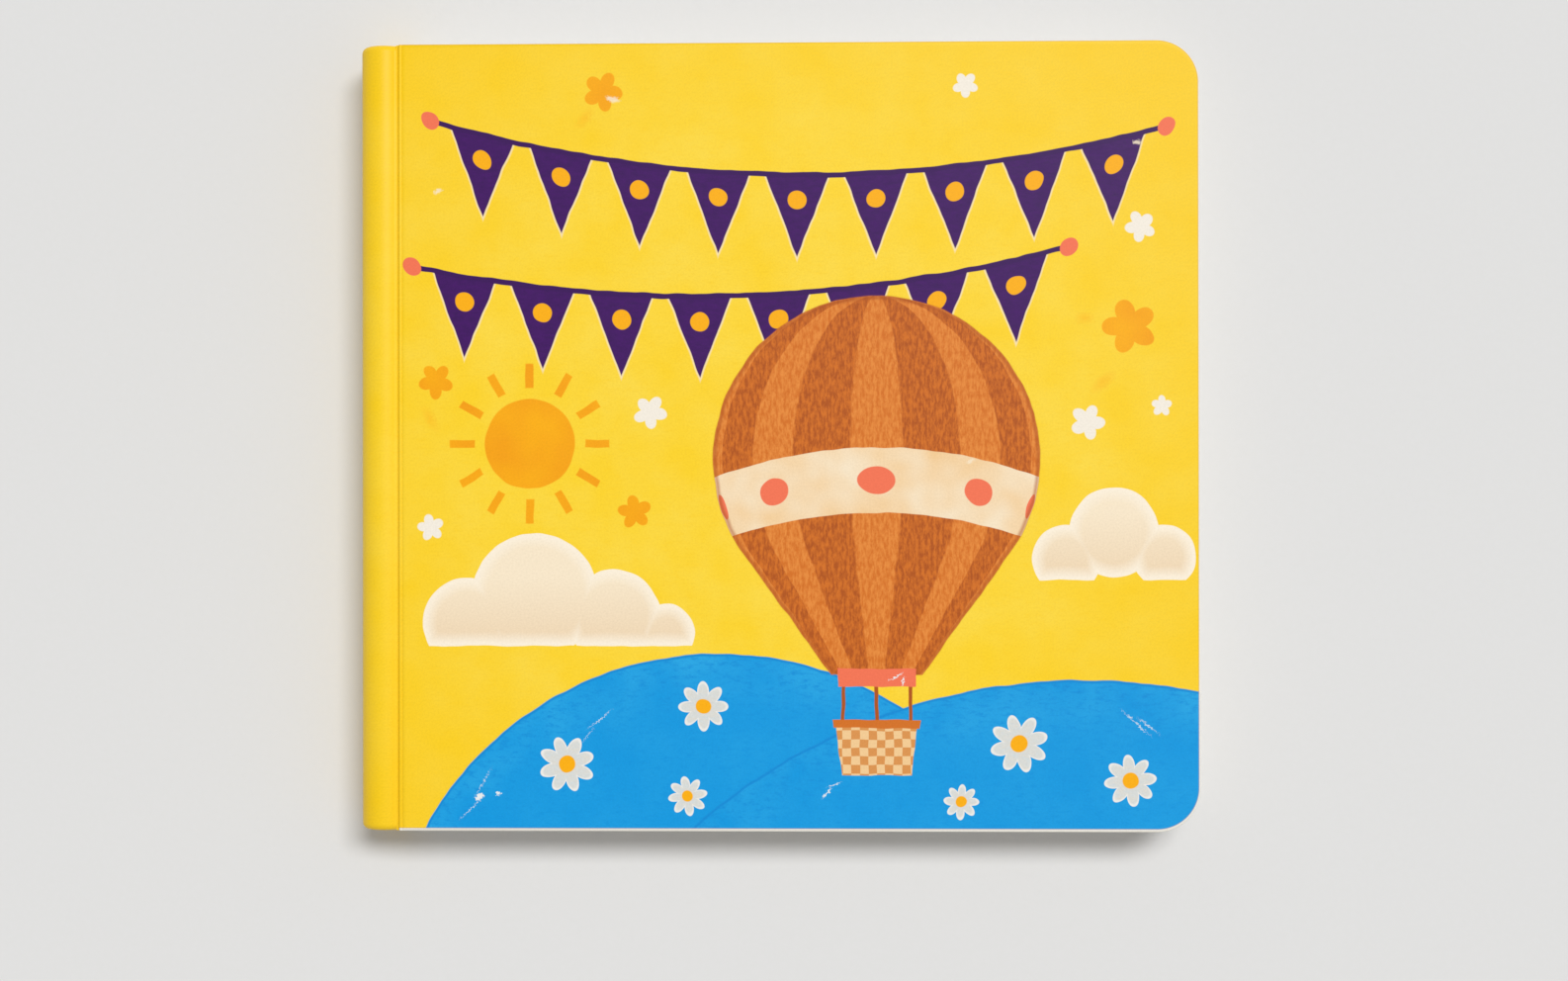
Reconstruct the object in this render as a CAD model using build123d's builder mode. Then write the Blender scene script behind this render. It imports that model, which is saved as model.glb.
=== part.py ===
from build123d import *
from math import acos, degrees, sqrt
import os

# A children's board book, closed and lying on its back cover. All sizes are in
# millimetres. +X runs from the spine to the fore edge, +Y from the tail to the head
# and +Z out of the front cover. The origin is under the middle of the book.

# Driving dimensions: the book and its leaves
book_width = 160.0
book_height = 150.0
leaf_count = 12
leaf_thickness = 1.0
leaf_gap = 0.05
leaf_edge_chamfer = 0.08
gutter_depth = 1.5
fore_corner_radius = 8.2

# Driving dimensions: the layers of a cover and of the spine
wrap_thickness = 0.25
board_thickness = 1.6
lining_thickness = 0.15
liner_thickness = 0.8
rim_radius = 0.2

# Driving dimensions: the rounded spine, its grooves and its glue
shoulder_radius = 4.4
groove_radius = 0.84
step_valley_radius = 0.4
step_ridge_radius = 0.4
crease_radius = 0.1
crease_distance = 0.25
turn_in_length = 8.0
glue_film = 0.2
glue_corner_film = 0.35

# Driving dimensions: the hinges
hinge_gap = 0.1
hinge_lift = 0.05

# Thicknesses and depths that follow from the layers
cover_thickness = wrap_thickness + board_thickness + lining_thickness
block_thickness = leaf_count * leaf_thickness
book_thickness = block_thickness + 2 * cover_thickness
half_thickness = book_thickness / 2
half_block = block_thickness / 2
half_height = book_height / 2
liner_depth = wrap_thickness + liner_thickness
turn_in_depth = liner_depth + wrap_thickness
groove_depth = cover_thickness - liner_depth - glue_film

# Places along the section, measured from the back of the spine
groove_reach = shoulder_radius + groove_radius
groove_place = shoulder_radius + sqrt(groove_depth * (2 * groove_reach - groove_depth))
hinge_place = groove_place + hinge_gap
step_reach = step_valley_radius + step_ridge_radius
ridge_place = hinge_place + sqrt(groove_depth * (2 * step_reach - groove_depth))
board_place = ridge_place - step_ridge_radius + wrap_thickness
crease_place = ridge_place + crease_distance
corner_reach = shoulder_radius - liner_depth - glue_corner_film
block_place = shoulder_radius - sqrt(
    corner_reach**2 - (shoulder_radius - cover_thickness) ** 2
)

# A section is drawn with its first axis running from the back of the spine to the
# fore edge and its second axis running up from the middle of the thickness. The
# back cover uses the same section on a plane that is turned upside down.
section_origin = (-book_width / 2, 0, half_thickness)
front_section_plane = Plane(section_origin, x_dir=(1, 0, 0), z_dir=(0, -1, 0))
back_section_plane = Plane(section_origin, x_dir=(1, 0, 0), z_dir=(0, 1, 0))


def spine_section(inset):
    """Rounded spine between its two grooves, smaller by inset all round."""
    slope = degrees(acos(1 - groove_depth / groove_reach))
    shoulder_centre = (shoulder_radius, half_thickness - shoulder_radius)
    groove_centre = (groove_place, half_thickness - groove_depth + groove_radius)
    with BuildSketch() as section:
        with BuildLine():
            Line((inset, 0), (inset, half_thickness - shoulder_radius))
            CenterArc(shoulder_centre, shoulder_radius - inset, 180, -90 - slope)
            CenterArc(groove_centre, groove_radius + inset, 270 - slope, slope)
            groove_floor = half_thickness - groove_depth - inset
            Line((groove_place, groove_floor), (groove_place, 0))
            mirror(about=Plane.XZ)
        make_face()
    return section.sketch


def spine_solid(inset):
    """Spine filled solid, smaller by inset all round, with its ends rounded over."""
    with BuildPart() as solid:
        with BuildSketch(front_section_plane):
            add(spine_section(inset))
        extrude(amount=half_height - inset, both=True)
        for end in solid.faces().filter_by(Axis.Y):
            fillet(end.edges().sort_by(Axis.X)[:-1], turn_in_depth - inset)
    return solid.part


def cover_section(inset, floor):
    """Cover from its hinge to its fore edge, under the outer surface less inset."""
    rise = degrees(acos(1 - groove_depth / step_reach))
    valley_centre = (hinge_place, half_thickness - groove_depth + step_valley_radius)
    ridge_centre = (ridge_place, half_thickness - step_ridge_radius)
    top = half_thickness - inset
    with BuildSketch() as section:
        with BuildLine():
            CenterArc(valley_centre, step_valley_radius + inset, 270, rise)
            CenterArc(ridge_centre, step_ridge_radius - inset, 90, rise)
            Line((ridge_place, top), (book_width, top))
            Line((book_width, top), (book_width, floor))
            Line((book_width, floor), (hinge_place, floor))
            Line((hinge_place, floor), (hinge_place, top - groove_depth))
        make_face()
    return section.sketch


def round_fore_corners(part):
    """Rounds the two upright corner edges of a part at the fore edge."""
    fillet(part.edges().filter_by(Axis.Z).group_by(Axis.X)[-1], fore_corner_radius)


def cover_wrap(section_plane):
    """Printed and laminated paper of one cover, with a score beside the board's edge."""
    lining_top = half_block + lining_thickness
    with BuildPart() as wrap:
        with BuildSketch(section_plane):
            add(cover_section(0, lining_top))
            add(cover_section(wrap_thickness, lining_top), mode=Mode.SUBTRACT)
            with Locations((crease_place, half_thickness)):
                Circle(crease_radius, mode=Mode.SUBTRACT)
        extrude(amount=half_height, both=True)
        round_fore_corners(wrap)
        outside = wrap.faces().filter_by(Axis.Z).sort_by(SortBy.DISTANCE)[-1]
        hinge_side = outside.edges().sort_by(Axis.X)[0]
        fillet(outside.edges().filter_by(lambda edge: edge != hinge_side), rim_radius)
    return wrap.part


def cover_board(section_plane):
    """White board of one cover, square at its cut edges and eased beside the groove."""
    lining_top = half_block + lining_thickness
    with BuildPart() as board:
        with BuildSketch(section_plane):
            add(cover_section(wrap_thickness, lining_top))
            with Locations((board_place, lining_top)):
                Rectangle(
                    board_place,
                    book_thickness,
                    align=(Align.MAX, Align.CENTER),
                    mode=Mode.SUBTRACT,
                )
        extrude(amount=half_height, both=True)
        round_fore_corners(board)
    return board.part


def cover_lining(section_plane):
    """Paper pasted inside one cover, from its hinge to its fore edge."""
    with BuildPart() as lining:
        with BuildSketch(section_plane):
            with Locations((hinge_place, half_block)):
                Rectangle(
                    book_width - hinge_place,
                    lining_thickness,
                    align=(Align.MIN, Align.MIN),
                )
        extrude(amount=half_height, both=True)
        round_fore_corners(lining)
    return lining.part


# One leaf: two cards glued back to back, with its cut edges a little eased
with BuildPart() as leaf:
    with BuildSketch(Plane.XY.offset(cover_thickness)):
        with Locations((book_width / 2, 0)):
            Rectangle(
                book_width - block_place,
                book_height,
                align=(Align.MAX, Align.CENTER),
            )
    extrude(amount=leaf_thickness - leaf_gap)
    round_fore_corners(leaf)
    leaf_faces = leaf.faces().filter_by(Axis.Z)
    chamfer(leaf_faces.edges().sort_by(Axis.X)[2:], leaf_edge_chamfer)

# All the leaves, joined at the gutter where their cards are folded and glued
with BuildPart() as page_block:
    for number in range(leaf_count):
        with Locations((0, 0, number * leaf_thickness + leaf_gap / 2)):
            add(leaf.part)
    with BuildSketch(front_section_plane):
        with Locations((block_place, 0)):
            Rectangle(
                gutter_depth,
                block_thickness,
                align=(Align.MIN, Align.CENTER),
            )
    extrude(amount=half_height, both=True)

# Printed paper round the spine. It covers both ends of the liner, and as far as the top
# of each shoulder it is also turned in along the liner's inner face.
with BuildPart() as spine_wrap:
    add(spine_solid(0))
    add(spine_solid(wrap_thickness), mode=Mode.SUBTRACT)
    with BuildSketch(front_section_plane):
        add(spine_section(liner_depth))
        with Locations((shoulder_radius, 0)):
            Rectangle(
                groove_place,
                book_thickness,
                align=(Align.MIN, Align.CENTER),
                mode=Mode.INTERSECT,
            )
        add(spine_section(turn_in_depth))
    extrude(amount=half_height, both=True, mode=Mode.SUBTRACT)
    for end_place in (turn_in_length - half_height, half_height - wrap_thickness):
        with BuildSketch(front_section_plane.offset(end_place)):
            add(spine_section(liner_depth))
            add(spine_section(turn_in_depth), mode=Mode.SUBTRACT)
            with Locations((shoulder_radius, 0)):
                Rectangle(
                    groove_place,
                    book_thickness,
                    align=(Align.MIN, Align.CENTER),
                    mode=Mode.SUBTRACT,
                )
        extrude(amount=wrap_thickness - turn_in_length)

# Card that stiffens the spine, under the printed paper
with BuildPart() as spine_liner:
    add(spine_solid(wrap_thickness))
    with BuildSketch(front_section_plane):
        add(spine_section(liner_depth))
    extrude(amount=half_height, both=True, mode=Mode.SUBTRACT)

# Glue between the liner and the back of the leaves, short of both turned-in ends
with BuildPart() as spine_glue:
    with BuildSketch(front_section_plane):
        add(spine_section(liner_depth))
        with Locations((block_place, 0)):
            Rectangle(
                book_width,
                block_thickness,
                align=(Align.MIN, Align.CENTER),
                mode=Mode.SUBTRACT,
            )
    extrude(amount=half_height - turn_in_length, both=True)

pieces = {
    "page_block": page_block.part,
    "spine_glue": spine_glue.part,
    "spine_liner": spine_liner.part,
    "spine_wrap": spine_wrap.part,
}
for side, side_plane in (("front", front_section_plane), ("back", back_section_plane)):
    pieces[f"{side}_wrap"] = cover_wrap(side_plane)
    pieces[f"{side}_board"] = cover_board(side_plane)
    pieces[f"{side}_lining"] = cover_lining(side_plane)

os.makedirs("parts", exist_ok=True)
for name, piece in pieces.items():
    piece.label = name
    export_step(piece, f"parts/{name}.step")

hinge_x = hinge_place - book_width / 2
print(f"book {book_width} x {book_height} x {book_thickness}")
print(f"groove at {groove_place:.3f}, hinges at x {hinge_x:.3f}")
print(f"hinge z {book_thickness + hinge_lift:.3f} and {-hinge_lift:.3f}")
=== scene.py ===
# %% [markdown]
# # A board book
# A board book is a stack of thick card leaves in a printed cover that is made to be
# chewed, dropped and wiped. This lesson builds the looks of one around a finished
# mechanical model. That model says where each piece is and how the two covers swing,
# so no size is guessed twice: places are read from the model, and only what it can't
# say, such as the radius of a fold, is named here.

# %% Load the model
import collections
import math
import random

import bmesh
import bpy
from mathutils import Matrix, Vector


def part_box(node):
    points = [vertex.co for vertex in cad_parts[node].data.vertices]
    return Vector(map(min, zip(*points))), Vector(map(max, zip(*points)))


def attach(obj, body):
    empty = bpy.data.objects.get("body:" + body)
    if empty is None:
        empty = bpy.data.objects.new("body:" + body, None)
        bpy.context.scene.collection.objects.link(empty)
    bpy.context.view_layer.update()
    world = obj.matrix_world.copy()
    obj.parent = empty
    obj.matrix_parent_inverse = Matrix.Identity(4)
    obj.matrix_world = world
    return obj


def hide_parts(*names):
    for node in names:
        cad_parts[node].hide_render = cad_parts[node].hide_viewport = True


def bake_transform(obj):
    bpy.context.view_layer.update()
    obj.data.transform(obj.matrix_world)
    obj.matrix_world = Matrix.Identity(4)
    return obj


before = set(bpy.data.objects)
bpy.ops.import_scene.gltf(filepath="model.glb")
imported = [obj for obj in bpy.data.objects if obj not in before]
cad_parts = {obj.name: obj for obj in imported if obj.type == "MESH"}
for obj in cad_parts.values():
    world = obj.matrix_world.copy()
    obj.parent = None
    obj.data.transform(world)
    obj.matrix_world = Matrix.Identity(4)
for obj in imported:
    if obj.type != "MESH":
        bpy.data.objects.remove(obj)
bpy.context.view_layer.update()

# %% [markdown]
# The model's boxes give the book's planes. The spine is at low X, the fore edge at
# high X, the tail at low Y and the head at high Y. The back cover lies on Z = 0.

# %% Read the places
MM = 0.001
spine_low, spine_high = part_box("spine_wrap")
wrap_low, wrap_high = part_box("front_wrap")
board_low, board_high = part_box("front_board")
lining_low, lining_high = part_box("front_lining")
leaves_low, leaves_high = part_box("page_block")

SPINE, GROOVE = spine_low.x, spine_high.x
HINGE, FORE = wrap_low.x, wrap_high.x
TAIL, HEAD = wrap_low.y, wrap_high.y
TOP = wrap_high.z
MIDDLE = TOP / 2
PAPER = TOP - board_high.z
print("book", FORE - SPINE, "by", HEAD - TAIL, "by", TOP, "paper", PAPER)

# %% [markdown]
# The folds are too small to read from a box, so their radii are named. The groove
# beside the spine is a shallow valley. On the cover's side the paper steps up over the
# edge of the board, with a fine score pressed beside the step. Two small distances are
# named too: points closer than these count as being in one place, or as near it.

# %% Name the folds
SHOULDER_RADIUS = 4.4 * MM
GROOVE_DEPTH = 0.75 * MM
GROOVE_RADIUS = 0.84 * MM
STEP_RADIUS = 0.4 * MM
FORE_CORNER_RADIUS = 8.2 * MM
SPINE_END_RADIUS = 1.25 * MM
TURN_IN = 8.0 * MM
RIM_RADIUS = 0.2 * MM

SAME_PLACE = 1e-7
NEAR = 0.01 * MM
GROOVE_FLOOR = TOP - GROOVE_DEPTH
groove_turn = math.degrees(math.acos(1 - GROOVE_DEPTH / (SHOULDER_RADIUS + GROOVE_RADIUS)))
step_turn = math.degrees(math.acos(1 - GROOVE_DEPTH / (2 * STEP_RADIUS)))
RIDGE = HINGE + 2 * STEP_RADIUS * math.sin(math.radians(step_turn))
print("groove slopes", round(groove_turn, 1), "and", round(step_turn, 1), "degrees")

# %% [markdown]
# Every folded piece here starts as one corner that is drawn on into a section: a
# straight line is an extruded corner, and a round is a corner spun about its centre.
# Drawing the section with operators keeps each round a true arc, and changing one
# radius changes the piece.

# %% Draw sections with lines and arcs
def line(bm, corner, x, z, steps=1):
    """Draws a straight line from a corner to a new place in its own plane."""
    start = corner.co.copy()
    for step in range(1, steps + 1):
        corner = bmesh.ops.extrude_vert_indiv(bm, verts=[corner])["verts"][0]
        corner.co = start.lerp(Vector((x, start.y, z)), step / steps)
    return corner


def arc(bm, corner, centre_x, centre_z, degrees, steps):
    """Draws an arc from a corner, turning from up towards the fore edge if positive."""
    swung = bmesh.ops.spin(
        bm,
        geom=[corner],
        cent=(centre_x, corner.co.y, centre_z),
        axis=(0, 1, 0),
        angle=math.radians(degrees),
        steps=steps,
        use_duplicate=False,
    )
    return next(item for item in swung["geom_last"] if isinstance(item, bmesh.types.BMVert))


# %% [markdown]
# A section becomes a solid in one stroke: it gets a face, and the face is extruded along
# the book's height. That keeps the same outline from the tail to the head, as paper
# folded over a straight edge does. A face looks along its normal, so the normals are
# turned outwards at the end.

# %% Turn a closed section into a solid
def pull(bm, length):
    """Closes the drawn section with a face and pulls it from the tail to the head."""
    face = bmesh.ops.contextual_create(bm, geom=bm.edges[:])["faces"][0]
    pulled = bmesh.ops.extrude_face_region(bm, geom=[face])
    corners = [item for item in pulled["geom"] if isinstance(item, bmesh.types.BMVert)]
    bmesh.ops.translate(bm, verts=corners, vec=(0, length, 0))
    bmesh.ops.recalc_face_normals(bm, faces=bm.faces[:])


# %% [markdown]
# The covers and leaves are cut with one die, so they share their plan: square at the
# spine, round at the two fore-edge corners. Each cut edge is also eased a little,
# because card has no knife-sharp edges. A bevel does both, and gives true rounds. The
# large faces get a narrow border, so that the smooth shading of an eased edge ends
# there and the flat face stays flat.

# %% Round the corners and ease the edges
CORNER_STEPS = 20
LARGE_FACE = 0.01


def bevel(bm, edges, radius, segments):
    """Rounds edges with arcs of a given radius."""
    bmesh.ops.bevel(
        bm,
        geom=edges,
        offset=radius,
        offset_type="OFFSET",
        segments=segments,
        profile=0.5,
        affect="EDGES",
        material=-1,
        clamp_overlap=False,
    )


def round_fore_corners(bm, radius=FORE_CORNER_RADIUS):
    """Rounds the upright edges at the fore edge, as the cutting die does."""
    far = max(corner.co.x for corner in bm.verts)
    upright = [
        edge for edge in bm.edges
        if all(abs(corner.co.x - far) < SAME_PLACE for corner in edge.verts)
        and abs(edge.verts[0].co.y - edge.verts[1].co.y) < SAME_PLACE
    ]
    bevel(bm, upright, radius, CORNER_STEPS)


def rim_edges(bm, upward, from_x):
    """Edges between the upright cut faces and the faces that look up, or down."""
    chosen = []
    for edge in bm.edges:
        slopes = sorted(face.normal.z * upward for face in edge.link_faces)
        level = len(slopes) == 2 and abs(slopes[0]) < 0.01 < slopes[1]
        if level and max(corner.co.x for corner in edge.verts) > from_x:
            chosen.append(edge)
    return chosen


def border_flat_faces(bm, width):
    """Gives each large level face a narrow border of its own."""
    for face in [face for face in bm.faces if face.calc_area() > LARGE_FACE]:
        if abs(face.normal.z) > 0.99:
            bmesh.ops.inset_region(bm, faces=[face], thickness=width, use_even_offset=True)


def slab(bm, low, high):
    """Adds a plain slab between two corners, to be cut and eased."""
    middle = (low + high) / 2
    bmesh.ops.create_cube(bm, size=1, matrix=Matrix.LocRotScale(middle, None, high - low))


def turn_over(bm):
    """Mirrors a front piece through the book's middle, for its twin at the back."""
    middle = Matrix.Translation((0, 0, -MIDDLE))
    bmesh.ops.scale(bm, verts=bm.verts[:], vec=(1, 1, -1), space=middle)
    bmesh.ops.reverse_faces(bm, faces=bm.faces[:])


print("fore corners", round(FORE_CORNER_RADIUS / MM, 1), "mm round, in", CORNER_STEPS, "steps")

# %% [markdown]
# A cover's print has to stay on it when the cover swings, and its paper stretches in the
# groove. So each mesh remembers where its points lay on the closed book, and the
# materials read that place, and not where the points are now.

# %% Make a piece of a finished mesh
REST_PLACE = "rest_place"


def make_piece(name, bm, material, sharp_degrees=40):
    """Makes an object of a finished mesh, smooth but for its sharp edges."""
    mesh = bpy.data.meshes.new(name)
    bm.to_mesh(mesh)
    bm.free()
    mesh.materials.append(material)
    mesh.shade_smooth()
    mesh.set_sharp_from_angle(angle=math.radians(sharp_degrees))
    stored = mesh.attributes.new(REST_PLACE, "FLOAT_VECTOR", "POINT")
    for corner, here in zip(stored.data, mesh.vertices):
        corner.vector = here.co
    piece = bpy.data.objects.new(name, mesh)
    bpy.context.scene.collection.objects.link(piece)
    size = [round(side / MM, 2) for side in piece.dimensions]
    print(name, len(mesh.polygons), "faces,", size, "mm")
    return piece


# %% [markdown]
# A material is arithmetic on sockets. The class below wraps one socket, so that a sum
# or a product of signals adds the Math node that works it out. Every other node comes
# from `add_node`, which takes the node's type, its settings and what feeds its sockets.

# %% Wrap sockets as signals
def add_node(tree, kind, settings=None, inputs=None, output=0):
    """Adds one node and returns one of its outputs as a signal."""
    node = tree.nodes.new("ShaderNode" + kind)
    for name, value in (settings or {}).items():
        setattr(node, name, value)
    for name, value in (inputs or {}).items():
        if isinstance(value, Signal):
            tree.links.new(value.socket, node.inputs[name])
        else:
            node.inputs[name].default_value = value
    return Signal(node.outputs[output]) if node.outputs else None


class Signal:
    """A number or a vector on its way through a material's nodes."""

    def __init__(self, socket):
        self.socket = socket

    def node(self, kind, settings=None, inputs=None, output=0):
        return add_node(self.socket.id_data, kind, settings, inputs, output)

    def maths(self, operation, *others, clamp=False):
        settings = {"operation": operation, "use_clamp": clamp}
        return self.node("Math", settings, dict(enumerate((self, *others))))

    def vector(self, operation, *others, output=0):
        return self.node(
            "VectorMath", {"operation": operation}, dict(enumerate((self, *others))), output
        )

    def __add__(self, other):
        return self.maths("ADD", other)

    def __sub__(self, other):
        return self.maths("SUBTRACT", other)

    def __rsub__(self, other):
        return self.maths("MULTIPLY_ADD", -1, other)

    def __mul__(self, other):
        return self.maths("MULTIPLY", other)

    def __truediv__(self, other):
        return self.maths("DIVIDE", other)

    def __abs__(self):
        return self.maths("ABSOLUTE")

    __radd__ = __add__
    __rmul__ = __mul__


# %% [markdown]
# A print is laid down shape by shape, as a painter would. A shape is a signal that says
# how far a point is outside it, in millimetres. The smaller of two such signals is both
# shapes together, and the larger is where they overlap.

# %% Shapes, masks and layers
def union(*shapes):
    joined = shapes[0]
    for shape in shapes[1:]:
        joined = joined.maths("MINIMUM", shape)
    return joined


def overlap(*shapes):
    shared = shapes[0]
    for shape in shapes[1:]:
        shared = shared.maths("MAXIMUM", shape)
    return shared


def inside(shape, softness=0.14):
    """1 inside a shape and 0 outside it, over an edge of the given softness."""
    return shape.maths("MULTIPLY_ADD", -1 / softness, 0.5, clamp=True)


def ink(red, green, blue):
    """A printed colour, from the 0 to 255 scale of a screen to linear light."""
    return (*[((part / 255 + 0.055) / 1.055) ** 2.4 if part > 10 else part / 3295
              for part in (red, green, blue)], 1.0)


def lay(mask, under, over):
    """Lays one colour over another where the mask is 1."""
    return mask.node(
        "Mix", {"data_type": "RGBA"}, {0: mask, 6: under, 7: over}, output=2
    )


def noise(place, scale, detail=2.0, roughness=0.5, output=0, dimensions="3D"):
    """Soft random values about 0.5, with the scale in lumps per millimetre."""
    inputs = {"Vector": place, "Scale": scale, "Detail": detail, "Roughness": roughness}
    return place.node("TexNoise", {"noise_dimensions": dimensions}, inputs, output)


def mottle(drift, one, other, sharpness=2.0):
    """A field of paint that drifts between two close colours, as a noise does."""
    share = drift.maths("MULTIPLY_ADD", sharpness, 0.5 - sharpness / 2, clamp=True)
    return lay(share, one, other)


def split(place):
    """The X, Y and Z of a place, as three signals."""
    parts = place.node("SeparateXYZ", {}, {"Vector": place}).socket.node.outputs
    return [Signal(part) for part in parts]


# %% [markdown]
# A material starts with the place of a point in millimetres, so that its sizes read as
# they would on a ruler, and ends with the shader that all the papers and cards share.

# %% Start and finish a material
def start_material(name, stored_place=True):
    """Makes an empty material and returns it with the place of a point in millimetres."""
    material = bpy.data.materials.new(name)
    material.use_nodes = True
    tree = material.node_tree
    tree.nodes.clear()
    if stored_place:
        place = add_node(tree, "Attribute", {"attribute_name": REST_PLACE}, output=1)
    else:
        place = add_node(tree, "TexCoord", output=3)
    return material, place.vector("MULTIPLY", (1 / MM, 1 / MM, 1 / MM))


def finish_material(material, colour, roughness, height, relief, **uniform):
    """Feeds the shader: colour, roughness and bump vary, and the rest is uniform."""
    tree = material.node_tree
    bump = height.node(
        "Bump", {}, {"Strength": 1.0, "Distance": relief, "Height": height}
    )
    inputs = {"Base Color": colour, "Roughness": roughness, "Normal": bump}
    shader = add_node(tree, "BsdfPrincipled", {}, {**inputs, **uniform})
    add_node(tree, "OutputMaterial", {}, {"Surface": shader})
    return material


# %% [markdown]
# A print is flat, so its picture needs only X and Y. The paint on the original sheet was
# put on by hand: its edges wander by a fraction of a millimetre and its fields of colour
# are mottled. The first comes from moving each point a little before any shape is
# measured. The noises are worked out once and shared by all the colours, because noise
# is what costs most time in a material with this many shapes. A row of named signals
# keeps them together.

# %% Prepare a sheet to be painted
Sheet = collections.namedtuple("Sheet", "place x y broad strokes fur grain")
SWAY = 0.5


def flat_noise(place, scale, detail=2.0, roughness=0.5, output=0):
    return noise(place, scale, detail, roughness, output, "2D")


def prepare_sheet(place):
    """Drops Z from a place, sways it, and works out the marks of the brushes."""
    level = place.vector("MULTIPLY", (1, 1, 0))
    drift = flat_noise(level, 0.2, 1.0, output=1)
    swayed = drift.vector("MULTIPLY_ADD", (SWAY, SWAY, 0), level)
    x, y, _ = split(swayed)
    return Sheet(
        place=swayed,
        x=x,
        y=y,
        broad=flat_noise(swayed, 0.08, 2.0, 0.6),
        strokes=flat_noise(level.vector("MULTIPLY", (0.5, 1.3, 1)), 0.9, 3.0, 0.75),
        fur=flat_noise(level.vector("MULTIPLY", (1.6, 0.5, 1)), 1.1, 2.0, 0.7),
        grain=flat_noise(level, 2.6, 1.0, 0.65),
    )


# %% [markdown]
# Two shapes come back again and again. A disc is a distance less a radius. A flower is a
# disc whose radius swells and shrinks on the way round, once for each petal.

# %% Measure discs and flowers
PETAL_DEPTH = 0.42


def disc(place, x, y, radius):
    return place.vector("DISTANCE", (x, y, 0), output=1) - radius


def way_round(place):
    """How far round the origin a place lies, from 0 to 1."""
    return place.node("TexGradient", {"gradient_type": "RADIAL"}, {"Vector": place}, 1)


def blossom(place, x, y, radius, turn, petals=5):
    """A flower with round petals that meet in a notch."""
    local = place.vector("SUBTRACT", (x, y, 0))
    lobe = way_round(local).maths("MULTIPLY_ADD", math.pi * petals, turn).maths("SINE")
    depth = PETAL_DEPTH * radius
    reach = abs(lobe).maths("MULTIPLY_ADD", depth, radius - depth)
    return local.vector("LENGTH", output=1) - reach


# %% [markdown]
# The ground is a warm yellow that deepens towards the cover's edges, with broad, dry
# brush marks. The landscape is two blue hills, each a great disc that only shows its
# top, because a disc is the cheapest round shape there is. The brush went round each
# hill's edge twice, so a darker line runs along it.

# %% Paint the sky and the hills
YELLOW, DEEP_YELLOW = ink(255, 214, 36), ink(252, 205, 14)
PALE_YELLOW = ink(255, 220, 66)
CREAM, WHITE = ink(251, 234, 205), ink(248, 240, 226)
BLUE, LIGHT_BLUE, DEEP_BLUE = ink(0, 154, 226), ink(36, 170, 232), ink(0, 140, 216)
HILLS = ((-11, -105, 64), (58, -158, 112))
HILL_LINE = 0.45


def yellow_ground(sheet):
    """Paper printed in warm yellow, deeper near the edges of the cover."""
    edge = sheet.place.vector("LENGTH", output=1)
    edge = edge.maths("MULTIPLY_ADD", 0.016, -0.9, clamp=True)
    brushed = mottle(sheet.broad, PALE_YELLOW, YELLOW)
    dry = sheet.strokes.maths("MULTIPLY_ADD", 1.2, -0.6, clamp=True)
    brushed = lay(dry, brushed, DEEP_YELLOW)
    return lay(edge * 0.9, brushed, DEEP_YELLOW)


def paint_hills(colour, sheet):
    streak = sheet.strokes.maths("MULTIPLY_ADD", 3.6, -1.75, clamp=True)
    field = mottle(sheet.broad, LIGHT_BLUE, BLUE, 2.2)
    field = lay(streak, field, DEEP_BLUE)
    for hill_disc in HILLS:
        hill = disc(sheet.place, *hill_disc)
        deep = lay(inside(hill + 5, 12) * 0.7, field, BLUE)
        colour = lay(inside(hill), colour, deep)
        colour = lay(inside(overlap(hill, 0 - hill - HILL_LINE), 0.3), colour, DEEP_BLUE)
    return colour


print("hills", len(HILLS), "with a darker line of", HILL_LINE, "mm")


# %% [markdown]
# Two strings of purple flags sag across the top. A sagging cord is close to a parabola,
# so how far a point hangs below the cord takes one square. A ping-pong of X repeats one
# flag along it and says how far a point is, either way, from a flag's middle. So one
# triangle makes a whole string, and the ends of the string are cut off afterwards.

# %% Hang the flags
PURPLE, DEEP_PURPLE = ink(66, 2, 100), ink(54, 0, 86)
ORANGE, DEEP_ORANGE = ink(254, 178, 0), ink(247, 160, 0)
CORAL = ink(246, 118, 84)
FLAG_PITCH, FLAG_HALF, FLAG_DROP = 15.0, 6.0, 15.5
SPOT_DROP, SPOT_RADIUS, KNOT_RADIUS = 4.8, 1.8, 1.7
CORD_HALF, CORD_TAIL = 0.5, 2.5
STRINGS = ((4.0, 9, 7.0, 50.0, 0.0020), (-7.0, 8, -14.0, 27.0, 0.0019))


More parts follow.
